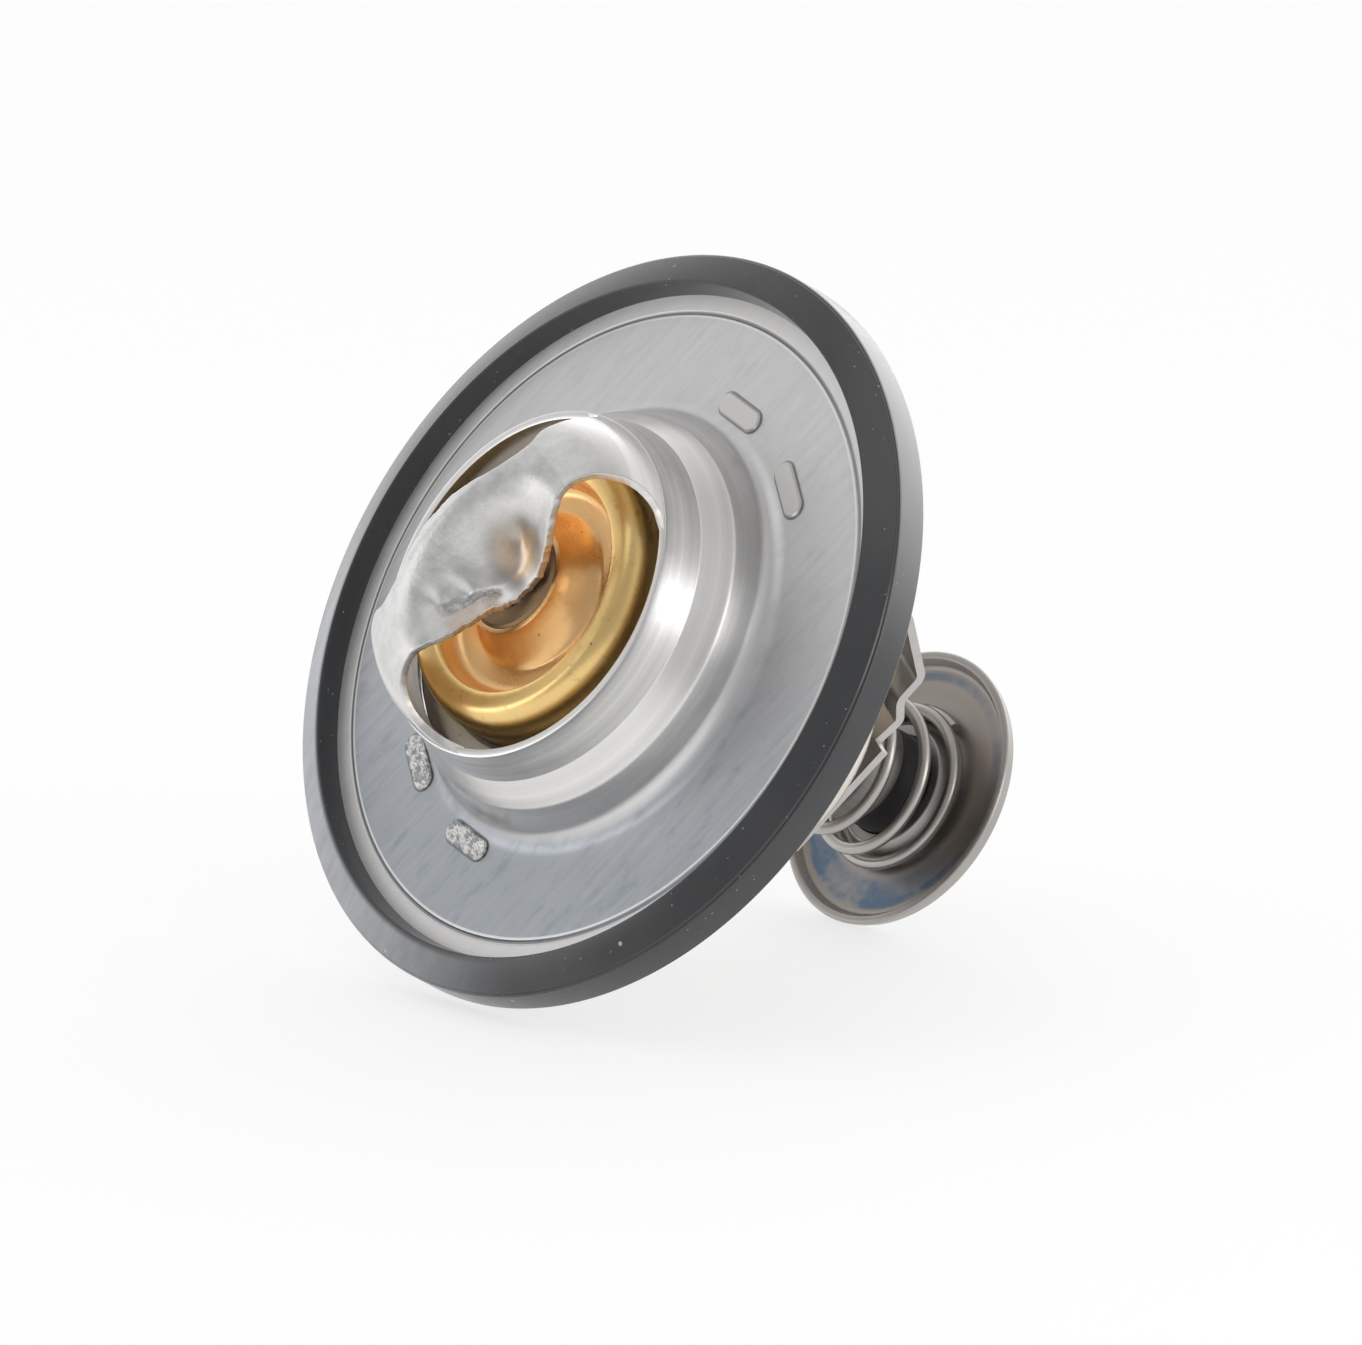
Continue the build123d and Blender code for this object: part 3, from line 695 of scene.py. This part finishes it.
def wear(piece, material):
    """Gives a piece its only material."""
    piece.data.materials.clear()
    piece.data.materials.append(material)


# %% [markdown]
# Stainless sheet comes off the roll with straight grain, here along X. On the flat it
# is cloudy, with bluish handling blotches, and painted shade with a bluish painted
# reflection darkens it towards its low side. Drawing rubbed the dome brighter and left
# rings on it. The band outside the coined step is pale and matte. The step has a painted
# shadow line and a painted highlight, and a painted shadow line rings each tab's head. On
# the strap, the cup over the piston has painted shade at its edge and painted warm
# reflections, beside a torn crease darkened by scratches and painted shade, and a fold
# with a painted bronze reflection.

# %% Stainless housing
WHITE, BLACK = (1, 1, 1), (0, 0, 0)
HEAD_X, HEAD_Y, HEAD_TURN = 20.72, 5.435, math.radians(14.7)
HEAD_HALF_LONG, HEAD_HALF_WIDE = 1.85, 1.08
STRAP_HEIGHTS = (10.1, 10.4)


def head_shadow_line(finish):
    """1 on the painted shadow line round a tab's head: at the half width from the head's middle
    line.
    """
    dx, dy = abs(finish.x) - HEAD_X, abs(finish.y) - HEAD_Y
    out = dx * math.cos(HEAD_TURN) + dy * math.sin(HEAD_TURN)
    along = abs(dy * math.cos(HEAD_TURN) - dx * math.sin(HEAD_TURN)) - HEAD_HALF_LONG
    beyond = along.math("MAXIMUM", along, 0.0)
    return ((out * out + beyond * beyond) ** 0.5).band(HEAD_HALF_WIDE, 0.04, 0.10)


def rolled_sheet(finish, grain, blotch):
    """The flat: grain, painted shade and a bluish painted reflection towards the low side, and
    handling blotches made stronger there as painted shade.
    """
    # Painted shade and reflection: the flat turns darker and bluer towards its low side.
    painted_low_side = (finish.x * -0.86 + finish.y * -0.50).ramp(-14, 22)
    flat = finish.mix(painted_low_side, (0.76, 0.75, 0.755), (0.42, 0.45, 0.49))
    dark, bright = finish.mix(0.22, flat, BLACK), finish.mix(0.18, flat, WHITE)
    flat = finish.mix(grain.contrast(0.9), dark, bright)
    # Handling blotches, made stronger towards the low side as painted shade.
    blotches_and_painted_shade = blotch.ramp(0.50, 0.72) * (painted_low_side * 0.55 + 0.15)
    return finish.mix(blotches_and_painted_shade, flat, (0.31, 0.34, 0.385))


def drawn_dome(finish, rings, sandy, rubbed):
    """The dome: rings from the drawing, and a sandy grey where its top was rubbed."""
    drawn = finish.mix(rings.contrast(1.6), (0.62, 0.61, 0.60), (0.92, 0.91, 0.90))
    worn = finish.mix(sandy.contrast(1.8), (0.52, 0.515, 0.51), (0.82, 0.815, 0.81))
    return finish.mix(rubbed * 0.85, drawn, worn)


def flange_lines(finish, base, band, blotch):
    """The pale band, the coined step's painted shadow line and painted highlight, and painted
    shadow lines round the tab heads.
    """
    base = finish.mix(band, base, finish.mix(blotch, (0.70, 0.69, 0.685), (0.86, 0.85, 0.84)))
    # Painted shadow lines: in the coined step's corner and round each tab's head.
    dark = finish.r.band(28.42, 0.07, 0.06) * 0.6 + head_shadow_line(finish) * 0.7
    base = finish.mix(dark, base, (0.16, 0.16, 0.16))
    # Painted highlight on the coined step's edge.
    return finish.mix(finish.r.band(28.1, 0.08, 0.06) * 0.8, base, (0.88, 0.87, 0.85))


def strap_shade_and_reflections(finish, base, strap, crease_and_shade, gouge):
    """Painted shade at the cup's edge, painted warm reflections in the cup, painted shade with
    scratches in the crease, and a painted bronze reflection on the fold.
    """
    x, y = finish.x, finish.y
    from_cup = (((x - 2.5) / 3.0) ** 2 + ((y + 0.9) / 2.5) ** 2) ** 0.5
    patches = finish.noise(700, 3).ramp(0.35, 0.6)
    # Painted warm reflections in the cup, broken into patches.
    painted_warm_reflection = from_cup.ramp(1.0, 0.3) * strap * (0.3 + patches * 0.7)
    # Painted bronze reflection on the fold near the front edge.
    painted_fold_reflection = (y + 2.7).band(0, 0.5, 0.5) * (x + 3.6).band(0, 1.8, 1.0) * strap
    # Painted shade along the cup's edge.
    base = finish.mix(from_cup.ramp(1.25, 0.75) * strap * 0.7, base, (0.33, 0.29, 0.26))
    base = finish.mix(painted_warm_reflection, base, (0.70, 0.52, 0.33))
    # Scratches together with painted shade darken the crease.
    base = finish.mix(crease_and_shade * gouge.ramp(0.40, 0.60) * 0.65, base, (0.27, 0.24, 0.22))
    return finish.mix(painted_fold_reflection * 0.55, base, (0.60, 0.47, 0.36))


def stainless():
    finish = Finish("stainless_sheet", Metallic=1.0)
    x, y, z, r = finish.x, finish.y, finish.z, finish.r
    grain = finish.streaks((90, 1300, 1300), 5, 0.62)
    blotch = finish.streaks((240, 620, 620), 5, 0.65)
    gouge = finish.streaks((500, 1500, 1500), 4, 0.7)
    rings, cloud, sandy = finish.rings(1500), finish.noise(45, 3), finish.noise(560, 6, 0.75)
    dome, rubbed, strap = r.ramp(20.2, 18.6), z.ramp(13.0, 15.5), z.ramp(*STRAP_HEIGHTS)
    band = r.ramp(28.5, 28.62) * z.ramp(-0.5, -0.3)
    slanted = y + 1.5 + (x + 3.2) * 0.25
    # The crease's mask gives both its relief and its painted shade.
    crease_and_shade = slanted.band(0, 0.3, 0.7) * (x + 3.2).band(0, 1.7, 0.9) * strap
    flat, drawn = rolled_sheet(finish, grain, blotch), drawn_dome(finish, rings, sandy, rubbed)
    base = flange_lines(finish, finish.mix(dome, flat, drawn), band, blotch)
    base = strap_shade_and_reflections(finish, base, strap, crease_and_shade, gouge)
    rough = 0.43 - dome * 0.09 + band * 0.14 + blotch.swing(0.16) + cloud.swing(0.1)
    rough = rough + rubbed * (0.07 + sandy.swing(0.3))
    finish.bump(grain, 0.35, 0.02)
    finish.bump(rings * dome, 0.3, 0.02)
    finish.bump(sandy * rubbed, 0.6, 0.12)
    finish.bump(gouge * crease_and_shade, 0.8, 0.3)
    return finish.surface(Base_Color=base, Roughness=rough)


wear(housing, stainless())


# %% [markdown]
# The rubber is nearly black and satin, so it turns pale where it is seen at a grazing
# angle. Its colour has a painted sheen on one side and another on the outer wall of the
# other side, and it carries fine grey dust.

# %% Rubber
DARK_TINT, PALE_TINT = (0.75, 0.78, 0.84), (1.3, 1.33, 1.4)


def rubber(name, tone, dust_and_sheen):
    """Rubber of one tone. The third argument scales the two painted sheens and the dust."""
    finish = Finish(name, IOR=1.55)
    x, y, r = finish.x, finish.y, finish.r
    cloud = finish.noise(120, 5, 0.65)
    smear = finish.streaks((200, 900, 400), 4, 0.6)
    # Painted sheen on the face of one side.
    painted_side_sheen = ((x * -0.95 + y * 0.30) / r).ramp(0.45, 0.98) * r.ramp(30.6, 31.2)
    # Painted sheen on the outer wall of the other side.
    painted_wall_sheen = ((x * 0.97 + y * 0.24) / r).ramp(0.30, 0.95) * r.ramp(33.3, 33.45)
    dust = finish.specks(420, 0.10, 0.60) * 0.8 + finish.specks(1500, 0.16, 0.58) * 0.35
    dark, pale = [tuple(tone * part for part in tint) for tint in (DARK_TINT, PALE_TINT)]
    base = finish.mix(cloud, dark, pale)
    base = finish.mix(painted_side_sheen * (0.45 + smear * 0.5) * dust_and_sheen, base, (0.60, 0.62, 0.66))
    base = finish.mix(painted_wall_sheen * 0.7 * dust_and_sheen, base, (0.58, 0.58, 0.59))
    base = finish.mix(dust * dust_and_sheen, base, (0.62, 0.62, 0.62))
    finish.bump(finish.noise(2600, 2), 0.2, 0.02)
    return finish.surface(Base_Color=base, Roughness=0.24 + cloud.swing(0.2) + smear.swing(0.14))


wear(gasket, rubber("gasket_rubber", 0.045, 1.0))


# %% [markdown]
# The valve is polished brass on its ring and copper-red in the recess, where it was
# annealed. Handling has left scratches, and the ring turns a darker brown low down. Its
# thin sealing rim is tinned. Two more functions make the simpler metals and the moulded
# pieces.

# %% Brass and simple finishes
CLOUD_SCALE = 400.0


def brass():
    finish = Finish("valve_brass", Metallic=1.0)
    z, r = finish.z, finish.r
    cloud = finish.noise(170, 5, 0.6)
    spots = finish.noise(800, 3).ramp(0.60, 0.75)
    scratch = finish.streaks((2600, 180, 900), 2, 0.5)
    cross = finish.streaks((240, 2900, 1200), 2, 0.5)
    ring = finish.mix(cloud, (0.79, 0.50, 0.17), (0.97, 0.73, 0.34))
    # Darker brown low on the ring.
    ring = finish.mix(z.ramp(8.0, 5.4) * 0.6, ring, (0.50, 0.33, 0.15))
    ring = finish.mix(spots * 0.5, ring, (0.45, 0.28, 0.11))
    inside = finish.mix(cloud, (0.84, 0.46, 0.17), (0.95, 0.65, 0.33))
    base = finish.mix(r.ramp(9.9, 9.6), ring, inside)
    base = finish.mix(r.ramp(12.9, 13.3) * z.ramp(5.6, 5.2), base, (0.70, 0.66, 0.62))
    base = finish.mix(finish.specks(900, 0.14, 0.62) * 0.7, base, (0.25, 0.13, 0.06))
    worn = scratch.ramp(0.58, 0.78) * 0.15 + cross.ramp(0.62, 0.8) * 0.12
    finish.bump(scratch, 0.4, 0.03)
    finish.bump(cross, 0.3, 0.03)
    finish.bump(cloud, 0.3, 0.05)
    return finish.surface(Base_Color=base, Roughness=0.30 + cloud.swing(0.26) + worn)


def metal(name, dark, bright, rough, grain, relief=0.3):
    """Turned or drawn metal with its grain stretched along the given axes."""
    finish = Finish(name, Metallic=1.0)
    line = finish.streaks(grain, 5, 0.65)
    cloud = finish.noise(190, 4)
    base = finish.mix(line * 0.6 + cloud * 0.4, dark, bright)
    finish.bump(line, relief, 0.02)
    return finish.surface(Base_Color=base, Roughness=rough + cloud.swing(0.18))


def plain(name, dark, bright, rough):
    """Moulded or cast stuff with soft clouds and a fine grain."""
    finish = Finish(name)
    cloud = finish.noise(CLOUD_SCALE, 4)
    finish.bump(finish.noise(CLOUD_SCALE * 8, 2), 0.2, 0.03)
    base = finish.mix(cloud, dark, bright)
    return finish.surface(Base_Color=base, Roughness=rough + cloud.swing(0.1))


wear(valve, brass())
wear(guide, metal("guide_bronze", (0.22, 0.145, 0.085), (0.42, 0.29, 0.17), 0.5,
                  (500, 500, 900)))
wear(main_coil, metal("pale_spring_steel", (0.66, 0.62, 0.56), (0.86, 0.83, 0.77), 0.45,
                      (600, 600, 120)))
spring_steel = metal("spring_steel", (0.36, 0.34, 0.32), (0.60, 0.57, 0.54), 0.34,
                     (600, 600, 120))
wear(bypass_coil, spring_steel)


# %% [markdown]
# Stamping heat has tinted the pan blue in a ring near its rim, broader on one side. The
# colour comes and goes in fine grains, and it is brown where it fades.

# %% Heat-tinted pan
def tinted_pan():
    finish = Finish("tinted_steel", Metallic=1.0)
    x, y, r = finish.x, finish.y, finish.r
    grain, cloud, fleck = finish.rings(1400), finish.noise(240, 4), finish.noise(1500, 3, 0.7)
    side = ((x * -0.94 - y * 0.35) / r).ramp(0.1, 0.95)
    thin = r.band(10.4, 0.15, 0.4) * cloud.ramp(0.3, 0.6)
    broad = r.band(9.3, 0.8, 0.9) * side * cloud.ramp(0.2, 0.6)
    blue = ((thin * 0.7 + broad) * (0.55 + fleck * 0.8)).held()
    brown = (r.band(9.6, 1.4, 1.2) * cloud * 0.6).held()
    steel = finish.mix(grain * 0.5 + cloud * 0.5, (0.30, 0.28, 0.265), (0.56, 0.535, 0.51))
    base = finish.mix(blue, finish.mix(brown, steel, (0.42, 0.33, 0.27)), (0.15, 0.215, 0.30))
    finish.bump(grain, 0.3, 0.02)
    return finish.surface(Base_Color=base, Roughness=0.40 + cloud.swing(0.2))


wear(pan, tinted_pan())


# %% [markdown]
# The frame's four tabs were staked over the flange. One pair came out smooth. The other
# was struck with a knurled punch and is rough all over.

# %% Frame steel
def frame_steel():
    finish = Finish("frame_steel", Metallic=1.0)
    x, z = finish.x, finish.z
    line = finish.streaks((900, 120, 900), 5, 0.65)
    knurl = finish.streaks((2200, 1300, 1300), 2, 0.6)
    cloud = finish.noise(150, 4)
    head = z.ramp(-0.05, 0.02)
    struck = head * x.ramp(0.5, -0.5)
    base = finish.mix(line * 0.5 + cloud * 0.5, (0.40, 0.38, 0.365), (0.70, 0.68, 0.655))
    base = finish.mix(head, base, (0.70, 0.69, 0.67))
    base = finish.mix(struck * knurl.ramp(0.40, 0.60), base, (0.32, 0.33, 0.34))
    finish.bump(line, 0.25, 0.02)
    finish.bump(knurl * struck, 1.0, 0.3)
    return finish.surface(Base_Color=base, Roughness=0.38 + cloud.swing(0.2))


# %% [markdown]
# The remaining pieces keep their CAD meshes and only get a finish. A hidden CAD node
# takes the finish of the piece that stands for it.

# %% Finishes for the CAD meshes
finishes = {
    "spring_frame": frame_steel(),
    "element_stem": metal("stem_steel", (0.16, 0.15, 0.14), (0.46, 0.44, 0.42), 0.36,
                          (1300, 1300, 50), 0.6),
    "stem_bush": plain("black_bush", (0.012, 0.012, 0.012), (0.035, 0.035, 0.035), 0.45),
    "spring_seat": spring_steel,
    "retaining_washer": spring_steel,
    "retaining_clip": spring_steel,
    "piston": metal("piston_steel", (0.55, 0.55, 0.56), (0.75, 0.75, 0.76), 0.22,
                    (900, 900, 200)),
    "piston_seal": rubber("seal_rubber", 0.03, 0.1),
    "rubber_sleeve": rubber("sleeve_rubber", 0.03, 0.1),
    "sleeve_washer": plain("white_washer", (0.70, 0.70, 0.67), (0.82, 0.82, 0.79), 0.5),
    "wax_capsule": metal("capsule_brass", (0.46, 0.32, 0.14), (0.75, 0.58, 0.30), 0.38,
                         (900, 900, 120)),
    "wax_charge": plain("copper_wax", (0.55, 0.32, 0.16), (0.72, 0.48, 0.29), 0.6),
}
finishes.update({node: piece.data.materials[0] for node, piece in skins.items()})
for node, material in finishes.items():
    wear(frame["nodes"][node], material)
print("finishes:", len(bpy.data.materials), "on", len(finishes), "nodes")

# %% [markdown]
# The photograph was taken through a long lens. The camera looks along a line tilted
# 48.6 degrees from the part's axis, and the axis points up and to the left in the frame.
# The angles, the scale and the pixel of one point on the axis were found by fitting the
# flange's rings.

# %% Camera
AROUND = math.radians(20.5)
TILT = math.radians(48.58)
ROLL = math.radians(61.28)
FOCAL_PIXELS = 40000.0
IMAGE_WIDTH, IMAGE_HEIGHT = 1362.0, 1345.0
AXIS_PIXEL = (598.1, 623.6)
AXIS_POINT = Vector((0, 0, 0.74))
PIXELS_PER_MM = 11.886
SENSOR_MM = 36.0
NEAR_M, FAR_M = 0.01, 20.0

far = Vector((-math.sin(AROUND), math.cos(AROUND), 0))
right = Vector((math.cos(AROUND), math.sin(AROUND), 0))
upright = math.cos(TILT) * far + math.sin(TILT) * Vector((0, 0, 1))
to_camera = -math.sin(TILT) * far + math.cos(TILT) * Vector((0, 0, 1))
camera_right = math.cos(ROLL) * right - math.sin(ROLL) * upright
camera_up = math.sin(ROLL) * right + math.cos(ROLL) * upright
distance = FOCAL_PIXELS / PIXELS_PER_MM
place = (AXIS_POINT + distance * to_camera
         - (AXIS_PIXEL[0] - IMAGE_WIDTH / 2) / PIXELS_PER_MM * camera_right
         - (IMAGE_HEIGHT / 2 - AXIS_PIXEL[1]) / PIXELS_PER_MM * camera_up)

lens = bpy.data.cameras.new("camera")
lens.sensor_width = SENSOR_MM
lens.lens = FOCAL_PIXELS / IMAGE_WIDTH * lens.sensor_width
lens.clip_start, lens.clip_end = NEAR_M, FAR_M
camera = bpy.data.objects.new("camera", lens)
bpy.context.scene.collection.objects.link(camera)
turn = Matrix((camera_right, camera_up, to_camera)).transposed()
camera.matrix_world = Matrix.Translation(place * MM) @ turn.to_4x4()
bpy.context.scene.camera = camera
print("camera stands", round(distance), "mm away")

# %% [markdown]
# The part lies on a white table, on the gasket's back edge and the pan's rim. The table
# is the plane that touches both and leans 14.25 degrees below the line of sight. It
# shows pure white to the camera except where the part shades it. Seen from below it is
# clear, so that it doesn't hide the part. It stays put when the valve opens, so the pan
# then dips into it.

# %% Table
LOOK_DOWN = math.radians(14.25)
TABLE_HALF_M = 3.0
TABLE_GAP = 0.02
GLOW, GLOW_SHARE = 1.1, 0.62
SQUARE = ((-1, -1), (1, -1), (1, 1), (-1, 1))

table_up = math.cos(LOOK_DOWN) * camera_up + math.sin(LOOK_DOWN) * to_camera
lean_r, lean_z = math.hypot(table_up.x, table_up.y), table_up.z
touch = [float((line[:, 1] * lean_z - line[:, 0] * lean_r).min())
         for line in (gasket_line, pan_line)]
table_low = min(touch) - TABLE_GAP
print("gasket and pan touch the table at", [round(t, 2) for t in touch])


def table_paper():
    """White paper that glows a little for camera, glossy and transmission rays."""
    finish = Finish("table_paper", Roughness=0.9)
    tone = finish.mix(finish.noise(3.0, 2), (0.95, 0.95, 0.95), (0.98, 0.98, 0.98))
    finish.surface(Base_Color=tone)
    glow = finish.node("ShaderNodeEmission", {}, {"Color": (1, 1, 1, 1), "Strength": GLOW})
    seen = finish.ray("Is Camera Ray", "Is Glossy Ray", "Is Transmission Ray")
    shown = finish.mix_shader(seen * GLOW_SHARE, finish.skin, glow)
    below = finish.node("ShaderNodeNewGeometry", {}, {}, "Backfacing")
    clear = finish.node("ShaderNodeBsdfTransparent", {}, {})
    finish.set(finish.out.inputs[0], finish.mix_shader(below, shown, clear))
    return finish.material


ahead_way = table_up.cross(camera_right)
middle = table_up * table_low * MM
corners = [middle + TABLE_HALF_M * (camera_right * a + ahead_way * b) for a, b in SQUARE]
table_mesh = bpy.data.meshes.new("table")
table_mesh.from_pydata([tuple(c) for c in corners], [], [(0, 1, 2, 3)])
table = bpy.data.objects.new("table", table_mesh)
bpy.context.scene.collection.objects.link(table)
wear(table, table_paper())
print("table faces up:", table_mesh.polygons[0].normal.dot(table_up) > 0)

# %% [markdown]
# Metal looks like metal by what it reflects. The part stands in a tent of light, which
# is white behind it, fairly bright to its right and dimmer towards the photographer.
# Three soft boxes add the highlights that the photograph shows on the strap, the dome
# and the brass. A box's direction is given to the right, up and towards the camera.

# %% Tent and soft boxes
TENT_FRONT, TENT_SIDE, TENT_BACK, TENT_RIGHT = 0.46, 0.36, 1.0, 0.40
BOX_DISTANCE_M = 0.6
SOFT_BOXES = [("top_box", (-0.35, 0.85, 0.35), 0.34, 0.34, 0.6),
              ("right_box", (0.80, 0.08, 0.5), 0.26, 0.34, 2.2),
              ("left_box", (-0.95, 0.12, 0.1), 0.24, 0.30, 1.6)]


def tent():
    """World light: brighter behind the part and to its right. The camera sees plain white."""
    world = bpy.data.worlds.new("tent")
    world.use_nodes = True
    nodes = Nodes(world.node_tree)
    way = nodes.node("ShaderNodeTexCoord", {}, {}, "Generated")
    toward, aside = [nodes.node("ShaderNodeVectorMath", {"operation": "DOT_PRODUCT"},
                                [way, axis], "Value") for axis in (to_camera, camera_right)]
    level = TENT_FRONT + TENT_SIDE * toward.ramp(0.15, -0.35)
    level = level + TENT_BACK * toward.ramp(-0.35, -0.80) + TENT_RIGHT * aside.ramp(0.2, 0.8)
    light, white = [nodes.node("ShaderNodeBackground", {}, {"Color": (1, 1, 1, 1), "Strength": s})
                    for s in (level, 1.0)]
    out = nodes.tree.nodes.new("ShaderNodeOutputWorld")
    nodes.set(out.inputs[0], nodes.mix_shader(nodes.ray("Is Camera Ray"), light, white))
    bpy.context.scene.world = world


def soft_box(name, direction, width, height, level):
    """Area lamp facing the part. Its watts give the wanted brightness: level x pi x area."""
    data = bpy.data.lights.new(name, "AREA")
    data.shape = "RECTANGLE"
    data.size, data.size_y, data.energy = width, height, level * math.pi * width * height
    lamp = bpy.data.objects.new(name, data)
    bpy.context.scene.collection.objects.link(lamp)
    way = (camera_right * direction[0] + camera_up * direction[1]
           + to_camera * direction[2]).normalized()
    facing = way.to_track_quat("Z", "Y").to_matrix().to_4x4()
    lamp.matrix_world = Matrix.Translation(way * BOX_DISTANCE_M) @ facing
    print(name, "gives", round(data.energy, 2), "W")


tent()
for box in SOFT_BOXES:
    soft_box(*box)

bpy.context.scene.view_settings.view_transform = "Standard"
